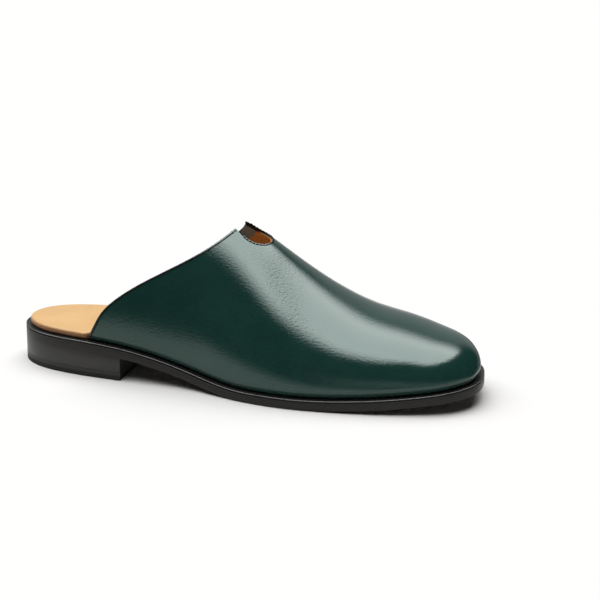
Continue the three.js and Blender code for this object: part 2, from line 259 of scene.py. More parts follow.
def smooth_step(low, high, value):
    share = np.clip((value - low) / (high - low), 0, 1)
    return share * share * (3 - 2 * share)


def spline(xs, ys):
    """Natural cubic spline through the points, as a function of arrays."""
    xs = np.array(xs, float)
    ys = np.array(ys, float)
    last = len(xs) - 1
    steps = np.diff(xs)
    slopes = np.diff(ys) / steps
    matrix = np.eye(last + 1)
    right = np.zeros(last + 1)
    for i in range(1, last):
        matrix[i, i - 1] = steps[i - 1]
        matrix[i, i] = 2 * (steps[i - 1] + steps[i])
        matrix[i, i + 1] = steps[i]
        right[i] = 6 * (slopes[i] - slopes[i - 1])
    bend = np.linalg.solve(matrix, right)

    def value(x):
        x = np.asarray(x, float)
        i = np.clip(np.searchsorted(xs, x) - 1, 0, last - 1)
        step = steps[i]
        a = (xs[i + 1] - x) / step
        b = (x - xs[i]) / step
        curved = (a ** 3 - a) * bend[i] + (b ** 3 - b) * bend[i + 1]
        return a * ys[i] + b * ys[i + 1] + curved * step ** 2 / 6

    return value


def station_of(share):
    return np.arccos(1 - 2 * np.asarray(share, float)) / np.pi


def station_x(station):
    return -SOLE_LENGTH / 2 * np.cos(np.pi * station)


def make_plan_edge():
    outer = [(float(station_of(at)), -width * out) for at, width, out, _ in PLAN]
    inner = [(2 - float(station_of(at)), width * inn) for at, width, _, inn in PLAN]
    loop = outer + inner[::-1][1:-1]
    rows = [(station + turn, y) for turn in (-2, 0, 2) for station, y in loop]
    return spline([row[0] for row in rows], [row[1] for row in rows])


plan_edge = make_plan_edge()


def outline(station, inset):
    """Point of the sole's outline at a station, moved inwards by inset."""
    probe = 1e-4
    station = np.asarray(station, float)
    along_x = SOLE_LENGTH * np.pi * probe * np.sin(np.pi * station)
    along_y = plan_edge(station + probe) - plan_edge(station - probe)
    length = np.hypot(along_x, along_y)
    x = station_x(station) - along_y / length * inset
    y = plan_edge(station) + along_x / length * inset
    return x, y


def underside(x):
    """Height of the outsole's underside above the floor."""
    x = np.asarray(x, float)
    fall = np.clip((x - SEAT_END) / (BREAST_X - SEAT_END), 0, 1)
    seat = HEEL_HEIGHT - (HEEL_HEIGHT - BREAST_HEIGHT) * fall ** 2
    share = np.clip((x - BREAST_X) / (TREAD_BACK - BREAST_X), 0, 1)
    slope = -2 * (HEEL_HEIGHT - BREAST_HEIGHT) / (BREAST_X - SEAT_END)
    waist = BREAST_HEIGHT * (1 - 3 * share ** 2 + 2 * share ** 3)
    waist += slope * (TREAD_BACK - BREAST_X) * share * (1 - share) ** 2
    rise = np.clip((x - TREAD_FRONT) / (SOLE_LENGTH / 2 - TREAD_FRONT), 0, 1)
    spring = TOE_SPRING * rise ** SPRING_POWER
    return np.where(x < BREAST_X, seat, np.where(x < TREAD_BACK, waist, spring))


def feather_height(x):
    return underside(x) + WELT_TOP + GAP


section_stations = station_of([row[0] for row in SECTIONS])
height_share = spline(section_stations, [row[1] for row in SECTIONS])
crest_share = spline(section_stations, [row[2] for row in SECTIONS])
fullness_at = spline(section_stations, [row[3] for row in SECTIONS])
outer_topline = spline([row[0] for row in TOPLINE], station_of([row[1] for row in TOPLINE]))
inner_topline = spline([row[0] for row in TOPLINE], station_of([row[2] for row in TOPLINE]))


def topline_at(angle):
    turn = np.asarray(angle, float) / (np.pi / 2)
    return np.where(turn < 1, outer_topline(turn), inner_topline(2 - turn))


def last_surface(station, angle):
    """Outside of the last, with the rise above the feather line as third value."""
    outer_x, outer_y = outline(station, WELT_REVEAL)
    inner_x, inner_y = outline(-station, WELT_REVEAL)
    full = fullness_at(station)
    across = (np.cos(angle) - full * np.cos(3 * angle)) / (1 - full)
    up = (np.sin(angle) + full * np.sin(3 * angle)) / (1 - full)
    weight = (1 + np.cos(angle)) / 2
    middle = (outer_y + inner_y) / 2
    half = (inner_y - outer_y) / 2
    shift = BALL_WIDTH * crest_share(station) - middle
    x = outer_x * weight + inner_x * (1 - weight)
    y = middle - half * across + shift * np.sin(angle) ** 2
    return np.stack([x, y, INSTEP_HEIGHT * height_share(station) * up], -1)


def upper_points(station, angle, depth):
    """Points of the upper, depth below its outside; the wall tucks in near the feather line."""
    inside = np.minimum(station, 1 - 2 * PROBE)
    along = last_surface(inside + PROBE, angle) - last_surface(inside - PROBE, angle)
    around = last_surface(inside, angle + PROBE) - last_surface(inside, angle - PROBE)
    normal = np.cross(along, around)
    normal /= np.linalg.norm(normal, axis=-1, keepdims=True)
    points = last_surface(station, angle)
    tuck = FEATHER_TUCK * np.clip(1 - points[..., 2] / TUCK_HEIGHT, 0, 1) ** 2
    never_zero = 1e-9
    level = np.hypot(normal[..., 0], normal[..., 1]) + never_zero
    points = points - normal * np.asarray(depth, float)[..., None]
    points[..., 0] -= normal[..., 0] / level * tuck
    points[..., 1] -= normal[..., 1] / level * tuck
    points[..., 2] += feather_height(points[..., 0])
    return points


def upper_at_plan(x, y, depth):
    """Point of the upper over a place in plan, near the ridge."""

    def surface(station, angle):
        return upper_points(np.array(station), np.array(angle), np.array(depth))

    station = float(station_of(x / SOLE_LENGTH + 0.5))
    angle = np.pi / 2
    for _ in range(SEARCH_ROUNDS):
        here = surface(station, angle)
        ahead = surface(station + PROBE, angle)
        aside = surface(station, angle + PROBE)
        slopes = np.array([(ahead - here)[:2], (aside - here)[:2]]).T / PROBE
        move = np.linalg.solve(slopes, np.array([x, y]) - here[:2])
        station += float(move[0])
        angle += float(move[1])
    return surface(station, angle)


def outsole_top(x):
    return underside(x) + OUTSOLE_THICKNESS


def welt_bottom(x):
    return outsole_top(x) + SEAM


def welt_top(x):
    return underside(x) + WELT_TOP


def insole_top(x):
    return feather_height(x) + INSOLE_THICKNESS


def below_welt_top(drop):
    """Height of a line that runs below the welt's top, as a function of x."""
    return lambda x: welt_top(x) - drop


def flat(height):
    """A level height, as a function of x."""
    return lambda x: height + 0 * np.asarray(x, float)


# Mesh helpers

def add_mesh(name, points, faces, sharp_angle=SHARP_ANGLE):
    mesh = bpy.data.meshes.new(name)
    mesh.from_pydata([tuple(point) for point in np.asarray(points) * MM], [], faces)
    mesh.validate()
    piece = bpy.data.objects.new(name, mesh)
    bpy.context.scene.collection.objects.link(piece)
    shade(piece, sharp_angle)
    return piece


def shade(piece, sharp_angle):
    """Smooth shading with sharp edges where faces meet at more than the angle, in degrees."""
    work = bmesh.new()
    work.from_mesh(piece.data)
    bmesh.ops.recalc_face_normals(work, faces=work.faces)
    limit = math.radians(sharp_angle)
    for face in work.faces:
        face.smooth = True
    for edge in work.edges:
        edge.smooth = len(edge.link_faces) == 2 and edge.calc_face_angle(0) < limit
    work.to_mesh(piece.data)
    work.free()


def dress(piece, material_slot, *materials, replaces=()):
    for material in materials:
        piece.data.materials.append(material)
    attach(piece, "root")
    if replaces:
        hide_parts(*replaces)


def grid_faces(rows, columns, start=0, flip=False):
    faces = []
    for i in range(rows - 1):
        for j in range(columns - 1):
            a = start + i * columns + j
            quad = [a, a + columns, a + columns + 1, a + 1]
            faces.append(quad[::-1] if flip else quad)
    return faces


def ring_faces(size, first, second):
    """Faces between two closed loops of points, from the places where the loops start."""
    faces = []
    for i in range(size):
        j = (i + 1) % size
        faces.append([first + i, first + j, second + j, second + i])
    return faces


def sole_loop(station_count, last_station, inset, height):
    """Loop around the sole from the heel to the last station, outer side first."""
    stations = np.linspace(0, last_station, station_count + 1)
    back = stations[::-1][1:-1] if last_station == 1 else stations[::-1][:-1]
    both = np.concatenate([stations, -back])
    insets = inset(station_x(both)) if callable(inset) else inset
    x, y = outline(both, insets)
    return np.stack([x, y, height(x)], -1)


def slab(name, rings, last_station=1, station_count=SOLE_STATIONS):
    """Closed slab of the sole's outline through rings of inset and height, bottom first."""
    loops = [sole_loop(station_count, last_station, inset, height) for inset, height in rings]
    size = len(loops[0])
    top = (len(loops) - 1) * size
    faces = []
    for start in range(0, top, size):
        faces += ring_faces(size, start, start + size)
    for start in (0, top):
        for i in range(size // 2):
            quad = [start + i, start + i + 1, start + (size - i - 1) % size, start + (size - i) % size]
            faces.append(list(dict.fromkeys(quad)))
    return add_mesh(name, np.concatenate(loops), faces)


def band(name, rings, station_count=SOLE_STATIONS):
    """Closed band around the sole through rings that run up the outside and down the inside."""
    loops = [sole_loop(station_count, 1, inset, height) for inset, height in rings]
    size = len(loops[0])
    faces = []
    for k in range(len(loops)):
        faces += ring_faces(size, k * size, (k + 1) % len(loops) * size)
    return add_mesh(name, np.concatenate(loops), faces)


def rounded_edge(inset, low, high, low_radius, high_radius, steps=4):
    """Rings of an edge from its lower to its upper height with both corners rounded.

    The inset and the two radii are functions of x, as the two heights are.
    """
    turns = np.linspace(0, np.pi / 2, steps + 1)
    rings = []
    for corner, sign, radius in ((low, 1, low_radius), (high, -1, high_radius)):
        for turn in turns[::sign]:
            back = 1 - math.sin(turn)
            rise = sign * (1 - math.cos(turn))
            rings.append((
                lambda x, back=back, radius=radius: inset(x) + radius(x) * back,
                lambda x, corner=corner, rise=rise, radius=radius: corner(x) + radius(x) * rise,
            ))
    return rings


def thread_points(start, end, up, radius):
    """A short thread lying on a surface, thinner at its two ends."""
    along = end - start
    length = np.linalg.norm(along)
    along = along / length
    side = np.cross(along, up)
    side /= np.linalg.norm(side)
    lift = np.cross(side, along)
    points = []
    for share, size in THREAD_PROFILE:
        arch = radius * (THREAD_LIFT - THREAD_ARCH * (share - 0.5) ** 2)
        centre = start + along * length * share + lift * arch
        for k in range(THREAD_SIDES):
            turn = 2 * math.pi * k / THREAD_SIDES
            points.append(centre + size * radius * (side * math.cos(turn) + lift * math.sin(turn)))
    return points


def stitch_mesh(name, runs, radius):
    """One mesh of all stitches; each run holds a start, an end and the surface's normal."""
    points = []
    faces = []
    for start, end, up in runs:
        base = len(points)
        points.extend(thread_points(start, end, up, radius))
        last = len(points) - THREAD_SIDES
        for ring in range(base, last, THREAD_SIDES):
            faces += ring_faces(THREAD_SIDES, ring, ring + THREAD_SIDES)
        faces.append([base + k for k in range(THREAD_SIDES)][::-1])
        faces.append([last + k for k in range(THREAD_SIDES)])
    return add_mesh(name, points, faces, THREAD_SHARP_ANGLE)


def stitches_along(line, normals, pitch, length):
    """Stitches at an even pitch along a line of points."""
    gaps = np.linalg.norm(np.diff(line, axis=0), axis=1)
    run = np.concatenate([[0], np.cumsum(gaps)])
    count = int(run[-1] // pitch)
    stitches = []

    def at(distance):
        return np.array([np.interp(distance, run, line[:, axis]) for axis in range(3)])

    for k in range(count):
        middle = (k + 0.5) * run[-1] / count
        nearest = int(np.argmin(abs(run - middle)))
        stitches.append((at(middle - length / 2), at(middle + length / 2), normals[nearest]))
    return stitches


# Node helpers

def new_material(name):
    material = bpy.data.materials.new(name)
    material.use_nodes = True
    nodes = material.node_tree.nodes
    return material, nodes, material.node_tree.links, nodes["Principled BSDF"]


def axes(nodes, links, source_kind="ShaderNodeTexCoord", output="Object"):
    """X, Y and Z of a node's vector, as a rule the place in the shoe's own coordinates."""
    source = nodes.new(source_kind)
    split = nodes.new("ShaderNodeSeparateXYZ")
    links.new(source.outputs[output], split.inputs["Vector"])
    return split.outputs


def object_noise(nodes, links, scale, detail=3, roughness=0.5, stretch=(1, 1, 1)):
    """Noise in the shoe's own coordinates."""
    place = nodes.new("ShaderNodeTexCoord")
    mapping = nodes.new("ShaderNodeMapping")
    mapping.inputs["Scale"].default_value = stretch
    noise = nodes.new("ShaderNodeTexNoise")
    noise.inputs["Scale"].default_value = scale
    noise.inputs["Detail"].default_value = detail
    noise.inputs["Roughness"].default_value = roughness
    links.new(place.outputs["Object"], mapping.inputs["Vector"])
    links.new(mapping.outputs["Vector"], noise.inputs["Vector"])
    return noise.outputs["Fac"]


def object_cells(nodes, links, scale):
    """Distance to the edges of small cells, in the shoe's own coordinates."""
    place = nodes.new("ShaderNodeTexCoord")
    cells = nodes.new("ShaderNodeTexVoronoi")
    cells.feature = "DISTANCE_TO_EDGE"
    cells.inputs["Scale"].default_value = scale
    links.new(place.outputs["Object"], cells.inputs["Vector"])
    return cells.outputs["Distance"]


def ramp(nodes, links, source, tones, start=TONE_START, end=TONE_END):
    """Colour from the first tone to the second as the source goes from start to end."""
    node = nodes.new("ShaderNodeValToRGB")
    for element, place, tone in zip(node.color_ramp.elements, (start, end), tones):
        element.position = place
        element.color = (*tone, 1)
    links.new(source, node.inputs["Fac"])
    return node.outputs["Color"]


def spread(nodes, links, source, low=0, high=1, start=TONE_START, end=TONE_END, eased=False):
    """Value from low to high as the source goes from start to end."""
    node = nodes.new("ShaderNodeMapRange")
    if eased:
        node.interpolation_type = "SMOOTHSTEP"
    node.inputs["From Min"].default_value = start
    node.inputs["From Max"].default_value = end
    node.inputs["To Min"].default_value = low
    node.inputs["To Max"].default_value = high
    links.new(source, node.inputs["Value"])
    return node.outputs["Result"]


def combine(nodes, links, operation, first, *others):
    """The operation over all values in turn, where each is a number or the output of a node."""
    result = first
    for other in others:
        node = nodes.new("ShaderNodeMath")
        node.operation = operation
        for socket, value in zip(node.inputs, (result, other)):
            if isinstance(value, (int, float)):
                socket.default_value = value
            else:
                links.new(value, socket)
        result = node.outputs["Value"]
    return result


def bump(nodes, links, source, height, under=None):
    """Bump of a height in metres, over another bump."""
    node = nodes.new("ShaderNodeBump")
    node.inputs["Strength"].default_value = 1
    node.inputs["Distance"].default_value = height
    links.new(source, node.inputs["Height"])
    if under is not None:
        links.new(under, node.inputs["Normal"])
    return node.outputs["Normal"]


# Materials

def polished_leather():
    """Deep green leather with a wax polish, a fine grain and faint hand-colouring."""
    material, nodes, links, shader = new_material("green_leather")
    clouds = object_noise(nodes, links, CLOUD_SCALE, detail=4, roughness=0.6)
    links.new(ramp(nodes, links, clouds, GREEN_TONES), shader.inputs["Base Color"])
    polish = object_noise(nodes, links, POLISH_SCALE, detail=2)
    links.new(spread(nodes, links, polish, *POLISH_ROUGH), shader.inputs["Roughness"])
    shader.inputs["IOR"].default_value = POLISH_IOR
    shader.inputs["Specular Tint"].default_value = POLISH_TINT
    waves = object_noise(nodes, links, WAVES[0], detail=2)
    wrinkles = object_noise(nodes, links, WRINKLES[0], detail=2, roughness=0.6, stretch=WRINKLE_STRETCH)
    cells = object_cells(nodes, links, CELLS[0])
    pores = object_noise(nodes, links, PORES[0], detail=2)
    relief = bump(nodes, links, waves, WAVES[1])
    relief = bump(nodes, links, wrinkles, WRINKLES[1], relief)
    relief = bump(nodes, links, cells, CELLS[1], relief)
    relief = bump(nodes, links, pores, PORES[1], relief)
    links.new(relief, shader.inputs["Normal"])
    return material


def plain_leather(name, tones, rough, scale, height, stretch=(1, 1, 1), specular=0.5, ior=1.5):
    """Leather with a mottled colour between two tones and a grain."""
    material, nodes, links, shader = new_material(name)
    mottle = object_noise(nodes, links, scale / MOTTLE_WIDTH, detail=4, roughness=0.6, stretch=stretch)
    links.new(ramp(nodes, links, mottle, tones), shader.inputs["Base Color"])
    grain = object_noise(nodes, links, scale, roughness=0.6, stretch=stretch)
    uneven = spread(nodes, links, grain, rough - ROUGH_VARIATION, rough + ROUGH_VARIATION)
    links.new(uneven, shader.inputs["Roughness"])
    links.new(bump(nodes, links, grain, height), shader.inputs["Normal"])
    shader.inputs["Specular IOR Level"].default_value = specular
    shader.inputs["IOR"].default_value = ior
    return material


def insole_leather():
    """Smooth tan leather whose rolled side is painted darker than its top, as painted shade."""
    material, nodes, links, shader = new_material("insole_leather")
    mottle = object_noise(nodes, links, INSOLE_MOTTLE_SCALE)
    look = axes(nodes, links, "ShaderNodeNewGeometry", "Normal")
    mix = nodes.new("ShaderNodeMix")
    mix.data_type = "RGBA"
    # Painted shade: faces that look less far up take the darker side's tones
    links.new(spread(nodes, links, look["Z"], 0, 1, SIDE_LOOKS_UP, TOP_LOOKS_UP), mix.inputs["Factor"])
    links.new(ramp(nodes, links, mottle, INSOLE_SHADED_SIDE_TONES), mix.inputs["A"])
    links.new(ramp(nodes, links, mottle, INSOLE_TOP_TONES), mix.inputs["B"])
    links.new(mix.outputs["Result"], shader.inputs["Base Color"])
    grain = object_noise(nodes, links, INSOLE_GRAIN[0], roughness=0.6)
    links.new(spread(nodes, links, grain, *INSOLE_ROUGH), shader.inputs["Roughness"])
    links.new(bump(nodes, links, grain, INSOLE_GRAIN[1]), shader.inputs["Normal"])
    return material


def heel_rubber():
    """Black rubber, polished like the heel above and dull and darker where it meets the ground."""
    material, nodes, links, shader = new_material("heel_rubber")
    grain = object_noise(nodes, links, RUBBER_GRAIN[0], roughness=0.6)
    border = combine(nodes, links, "MULTIPLY", grain, DARK_DULL_BORDER)
    height = combine(nodes, links, "ADD", border, axes(nodes, links)["Z"])
    polished = spread(nodes, links, height, 0, 1, DARK_DULL_UP_TO, POLISHED_FROM)
    links.new(ramp(nodes, links, polished, RUBBER_TONES, 0, 1), shader.inputs["Base Color"])
    links.new(spread(nodes, links, polished, *RUBBER_ROUGH, 0, 1), shader.inputs["Roughness"])
    links.new(bump(nodes, links, grain, RUBBER_GRAIN[1]), shader.inputs["Normal"])
    return material


GREEN = polished_leather()
EDGE_PAINT = plain_leather("edge_paint", PAINT_TONES, rough=0.3, scale=900, height=0.00002)
FACING = plain_leather("facing_leather", FACING_TONES, rough=0.35, scale=1200, height=0.00002)
LINING = plain_leather("lining_leather", LINING_TONES, rough=0.5, scale=1200, height=0.00003)
LINING_EDGE = plain_leather("lining_edge", CUT_EDGE_TONES, rough=0.7, scale=1500, height=0.00004)
INSOLE = insole_leather()
WELT = plain_leather("welt_leather", WELT_TONES, rough=0.38, scale=900, height=0.00003)
SOLE_EDGE = plain_leather(
    "sole_edge", SOLE_EDGE_TONES, rough=0.42, scale=900, height=0.00003,
    stretch=SOLE_STRETCH, specular=0.25)
HEEL_EDGE = plain_leather(
    "heel_edge", SOLE_EDGE_TONES, rough=0.4, scale=900, height=0.00003, stretch=SOLE_STRETCH)
SOLE_UNDER = plain_leather("sole_underside", SOLE_UNDER_TONES, rough=0.6, scale=700, height=0.00005)
BEAD = plain_leather("burnished_edge", BEAD_TONES, rough=0.24, scale=900, height=0.00001, ior=1.8)
HEEL_RUBBER = heel_rubber()
# Black thread, also used for the painted shade in the stitch groove
THREAD_AND_GROOVE_SHADE = plain_leather("black_thread_and_groove_shade", THREAD_AND_GROOVE_SHADE_TONES, rough=0.7, scale=3000, height=0.00003, specular=0.12)


# Upper

def slot_place():
    """Where the ridge ends at the topline, and the slot's middle line there."""
    crest = topline_at(np.pi / 2)
    return float(station_x(crest)), float(BALL_WIDTH * crest_share(crest)) - SLOT_SHIFT


def slot_outline(inset):
    """Plan outline of the slot, from the outer side of its mouth round to the inner side."""
    crest_x, middle_y = slot_place()
    radius = SLOT_WIDTH / 2 - inset
    round_x = SLOT_LENGTH - SLOT_WIDTH / 2
    lean = math.atan2((SLOT_WIDTH - SLOT_MOUTH) / 2, round_x)
    behind = -SLOT_LENGTH
    half_behind = SLOT_MOUTH / 2 - inset + behind * math.tan(lean)
    points = [(behind, -half_behind)]
    for turn in np.linspace(-math.pi / 2 - lean, math.pi / 2 + lean, SLOT_STEPS):
        points.append((round_x + radius * math.cos(turn), radius * math.sin(turn)))
    points.append((behind, half_behind))
    return [(crest_x + x, middle_y + y) for x, y in points]


def slot_cutter(inset, back, material):
    plan = [(x - back, y) for x, y in slot_outline(inset)]
    count = len(plan)
    heights = (INSTEP_HEIGHT * CUTTER_LOW, INSTEP_HEIGHT * CUTTER_HIGH)
    points = [(x, y, z) for z in heights for x, y in plan]
    faces = [list(range(count))[::-1], list(range(count, 2 * count))]
    faces += ring_faces(count, 0, count)
    cutter = add_mesh("slot_cutter", points, faces)
    cutter.data.materials.append(material)
    return cutter


def cut_slot(piece, inset, back, edge_material):
    """Cut the slot, smaller by inset all round and shorter by back at its closed end."""
    cutter = slot_cutter(inset, back, edge_material)
    cut = piece.modifiers.new("slot", "BOOLEAN")
    cut.operation = "DIFFERENCE"
    cut.solver = "EXACT"
    cut.material_mode = "TRANSFER"
    cut.object = cutter
    graph = bpy.context.evaluated_depsgraph_get()
    result = bpy.data.meshes.new_from_object(piece.evaluated_get(graph))
    piece.modifiers.clear()
    piece.data = result
    bpy.data.objects.remove(cutter)


def column_angles(columns):
    """Turns around the upper, closer together near the feather line than at the ridge."""
    share = np.linspace(0, 1, columns + 1)
    return np.pi * share - np.sin(2 * np.pi * share) / 4


def topline_speed(angles):
    """Length of one unit of station along the wall at the topline, in millimetres."""
    stations = topline_at(angles)
    zero = np.zeros_like(angles)
    step = upper_points(stations + PROBE, angles, zero) - upper_points(stations - PROBE, angles, zero)
    return np.linalg.norm(step, axis=1) / (2 * PROBE)


def shell_faces(size, width, tips):
    """Faces of a shell's two skins, its front end and its lower edges.

    Each skin has size points in rows of width. tips holds the two points that the skins run to at the toe,
    and is empty where the shell ends before it.
    """
    rows = size // width
    last = size - width
    faces = grid_faces(rows, width) + grid_faces(rows, width, size, True)
    if tips:
        for a in range(last, size - 1):
            faces.append([a, tips[0], a + 1])
            faces.append([size + a, size + a + 1, tips[1]])
        faces.append([last, size + last, tips[1], tips[0]])
        faces.append([size - 1, tips[0], tips[1], 2 * size - 1])
    else:
        for a in range(last, size - 1):
            faces.append([a, size + a, size + a + 1, a + 1])
    for a in range(0, last, width):
        b = a + width - 1
        faces.append([a, size + a, size + a + width, a + width])
        faces.append([b, b + width, size + b + width, size + b])
    return faces


def upper_shell(name, depths, back_shift, round_edge, mesh_size, material, end_shift=None):
    """Closed shell between two depths of the upper, open at the collar and underneath.

    back_shift moves its back edge forward from the topline, and end_shift ends it that far from there
    instead of at the toe, both in millimetres along the wall.
    """
    rows, columns = mesh_size
    width = columns + 1
    angles = column_angles(columns)
    speed = topline_speed(angles)
    back = topline_at(angles) + back_shift / speed
    spacing = np.linspace(0, 1, rows + 1)
    if end_shift is None:
        front = np.ones_like(angles)
        spacing = spacing[:-1]
    else:
        front = back + end_shift / speed
    points = []
    for depth in depths:
        for share in spacing:
            stations = back + (front - back) * share
            points.extend(upper_points(stations, angles, np.full_like(angles, depth)))
    size = len(spacing) * width
    tips = []
    if end_shift is None:
        tips = [len(points), len(points) + 1]
        for depth in depths:
            points.extend(upper_points(np.array([1.0]), np.array([0.0]), np.array([depth])))
    faces = shell_faces(size, width, tips)
    edge_start = len(faces)
    rim = [list(range(width))]
    for k in range(1, RIM_STEPS):
        turn = math.pi * k / RIM_STEPS
        depth = depths[0] + (depths[1] - depths[0]) * (1 - math.cos(turn)) / 2
        stations = back - round_edge * math.sin(turn) / speed
        rim.append(list(range(len(points), len(points) + width)))
        points.extend(upper_points(stations, angles, np.full_like(angles, depth)))
    rim.append(list(range(size, size + width)))
    for first, second in zip(rim, rim[1:]):
        for j in range(columns):
            faces.append([first[j], first[j + 1], second[j + 1], second[j]])
    for j in (0, columns):
        faces.append([row[j] for row in rim])
    piece = add_mesh(name, points, faces, LEATHER_SHARP_ANGLE)
    piece.data.materials.append(material)
    piece.data.materials.append(EDGE_PAINT)
    for polygon in piece.data.polygons[edge_start:]:
        polygon.material_index = 1
    return piece


def hide_lining_edge(lining):
    """Black edge paint on the lining's cut edge where the facing lies over it."""
    lining.data.materials.append(EDGE_PAINT)
    names = [material.name for material in lining.data.materials]
    bare = names.index(LINING_EDGE.name)
    covered = (slot_place()[0] + FACING_WIDTH) * MM
    for polygon in lining.data.polygons:
        if polygon.material_index == bare and polygon.center.x < covered:
            polygon.material_index = len(names) - 1


def finish_upper_piece(piece, replaces=()):
    shade(piece, LEATHER_SHARP_ANGLE)
    dress(piece, "upper_leather", replaces=replaces)


def make_upper():
    """Outer leather, lining, and a facing strip inside the collar."""
    lining_depths = (LEATHER + LAYER_GAP, UPPER_WALL - FACING_STEP)
    facing_depths = (UPPER_WALL - FACING_STEP + LAYER_GAP, UPPER_WALL)
    leather = upper_shell(
        "upper_leather", (0, LEATHER), TOPLINE_ROUND, TOPLINE_ROUND, LEATHER_MESH, GREEN)
    cut_slot(leather, 0, 0, EDGE_PAINT)
    finish_upper_piece(leather, ["upper"])
    lining = upper_shell("upper_lining", lining_depths, LINING_BACK, LINING_ROUND, LINING_MESH, LINING)
    cut_slot(lining, LINING_PROUD, LINING_END, LINING_EDGE)
    hide_lining_edge(lining)
    finish_upper_piece(lining)
    facing = upper_shell(
        "collar_facing", facing_depths, FACING_BACK, FACING_ROUND, FACING_MESH, FACING, FACING_WIDTH)
    cut_slot(facing, LINING_PROUD, 0, EDGE_PAINT)
    finish_upper_piece(facing)


def topline_seams():
    """Seam lines with their normals: along the topline's outer and inner side, and round the slot."""
    margin = 0.02
    angles = np.linspace(margin, math.pi - margin, STITCH_LINE_STEPS)
    stations = topline_at(angles) + (STITCH_INSET + TOPLINE_ROUND) / topline_speed(angles)
    line = upper_points(stations, angles, np.zeros_like(angles))
    up = line - upper_points(stations, angles, np.ones_like(angles))
    crest_x, middle_y = slot_place()
    start_x = crest_x + STITCH_INSET
    half = SLOT_MOUTH / 2 + SLOT_STITCH_INSET
    outer = line[:, 1] < middle_y - half
    inner = line[:, 1] > middle_y + half
    around = [(x, y) for x, y in slot_outline(-SLOT_STITCH_INSET) if x > start_x]
    plan = [(start_x, middle_y - half), *around, (start_x, middle_y + half)]
    dense = []
    for (x0, y0), (x1, y1) in zip(plan, plan[1:]):
        steps = max(1, int(math.hypot(x1 - x0, y1 - y0)))
        dense += [(x0 + (x1 - x0) * k / steps, y0 + (y1 - y0) * k / steps) for k in range(steps)]
    ring = np.array([upper_at_plan(x, y, 0) for x, y in dense])
    ring_up = ring - np.array([upper_at_plan(x, y, 1) for x, y in dense])
    return [(line[outer], up[outer]), (line[inner], up[inner]), (ring, ring_up)]


def make_topline_stitches(seams):
    """Black stitches just inside the topline and round the slot."""
    runs = []
    for line, up in seams:
        runs += stitches_along(line, up, STITCH_PITCH, STITCH_LENGTH)
    dress(stitch_mesh("topline_stitches", runs, STITCH_RADIUS), "upper_leather", THREAD_AND_GROOVE_SHADE)


def make_stitch_groove_shade(seams):
    """Dark strip under the stitches: painted shade for the groove that the thread presses into the leather.
    """
    points = []
    faces = []
    for line, up in seams:
        side = np.cross(np.gradient(line, axis=0), up)
        side *= STITCH_SHADE_WIDTH / 2 / np.linalg.norm(side, axis=1, keepdims=True)
        start = len(points)
        count = len(line)
        for offset, lift in (
            (-1, -STITCH_SHADE_DEPTH),
            (-1, STITCH_SHADE_RISE),
            (1, STITCH_SHADE_RISE),
            (1, -STITCH_SHADE_DEPTH),
        ):
            points.extend(line + side * offset + up * lift)
        for k in range(4):
            a = start + k * count
            b = start + (k + 1) % 4 * count
            faces += [[a + i, a + i + 1, b + i + 1, b + i] for i in range(count - 1)]
        for i in (0, count - 1):
            faces.append([start + k * count + i for k in range(4)])
    # Painted shade: the strip takes the thread's black
    dress(add_mesh("stitch_groove_shade", points, faces), "upper_leather", THREAD_AND_GROOVE_SHADE)


# Insole, welt, outsole and heel

def insole_margin(x):
    """Distance of the insole's edge from the sole's edge, larger inside the upper."""
    upper_back = lengthwise(TOPLINE[0][1])
    covered = WELT_REVEAL + FEATHER_TUCK + UPPER_WALL + GAP
    step_end = upper_back + GAP
    inside = smooth_step(step_end - INSOLE_STEP, step_end, x)
    return INSOLE_MARGIN + (covered - INSOLE_MARGIN) * inside


def make_insole():
    rounding = flat(INSOLE_ROUND)
    rings = rounded_edge(insole_margin, welt_top, insole_top, rounding, rounding, INSOLE_ROUND_STEPS)
    dress(slab("insole_cover", rings), "insole_leather", INSOLE, replaces=["insole"])


def make_welt():
    """Welt with a burnished bead along its top edge, a groove under it and a channel inside it."""
    bead_low = 2 * BEAD_RADIUS
    groove_low = bead_low + GROOVE_HEIGHT
    side = [
        (0, welt_bottom),
        (0, below_welt_top(groove_low)),
        (GROOVE_DEPTH, below_welt_top(groove_low - GROOVE_BEVEL)),
        (GROOVE_DEPTH, below_welt_top(bead_low)),
    ]
    bead = []
    for turn in np.linspace(-np.pi / 2, np.pi / 2, BEAD_STEPS + 1)[1:]:
        drop = BEAD_RADIUS * (1 - math.sin(turn))
        bead.append((BEAD_RADIUS * (1 - math.cos(turn)), below_welt_top(drop)))
    channel_end = WELT_CHANNEL_INSET + WELT_CHANNEL_WIDTH
    channel = [
        (WELT_CHANNEL_INSET, welt_top),
        (WELT_CHANNEL_INSET + WELT_CHANNEL_BEVEL, below_welt_top(WELT_CHANNEL_DEPTH)),
        (channel_end - WELT_CHANNEL_BEVEL, below_welt_top(WELT_CHANNEL_DEPTH)),
        (channel_end, welt_top),
    ]
    rings = side + bead + channel + [(WELT_WIDTH, welt_top), (WELT_WIDTH, welt_bottom)]
    piece = band("welt_strip", rings)
    dress(piece, "welt_leather", WELT, SOLE_EDGE, BEAD, replaces=["welt"])
    ring_size = len(piece.data.vertices) // len(rings)
    bead_start = len(side) - 1
    for polygon in piece.data.polygons:
        ring = polygon.index // ring_size
        if ring == 0:
            polygon.material_index = 1
        elif bead_start <= ring < bead_start + len(bead):
            polygon.material_index = 2


def make_welt_stitches():
    line = sole_loop(WELT_LINE_STATIONS, 1, WELT_STITCH_INSET, welt_top)
    up = np.tile([0.0, 0.0, 1.0], (len(line), 1))
    runs = stitches_along(line, up, WELT_STITCH_PITCH, WELT_STITCH_LENGTH)
    dress(stitch_mesh("welt_stitches", runs, WELT_STITCH_RADIUS), "welt_leather", THREAD_AND_GROOVE_SHADE)


def outsole_round(x):
    """Rounding of the outsole's lower edge, none over the heel."""
    return SEAM + OUTSOLE_ROUND * smooth_step(
        BREAST_X + OUTSOLE_ROUND_START, BREAST_X + OUTSOLE_ROUND_END, x)


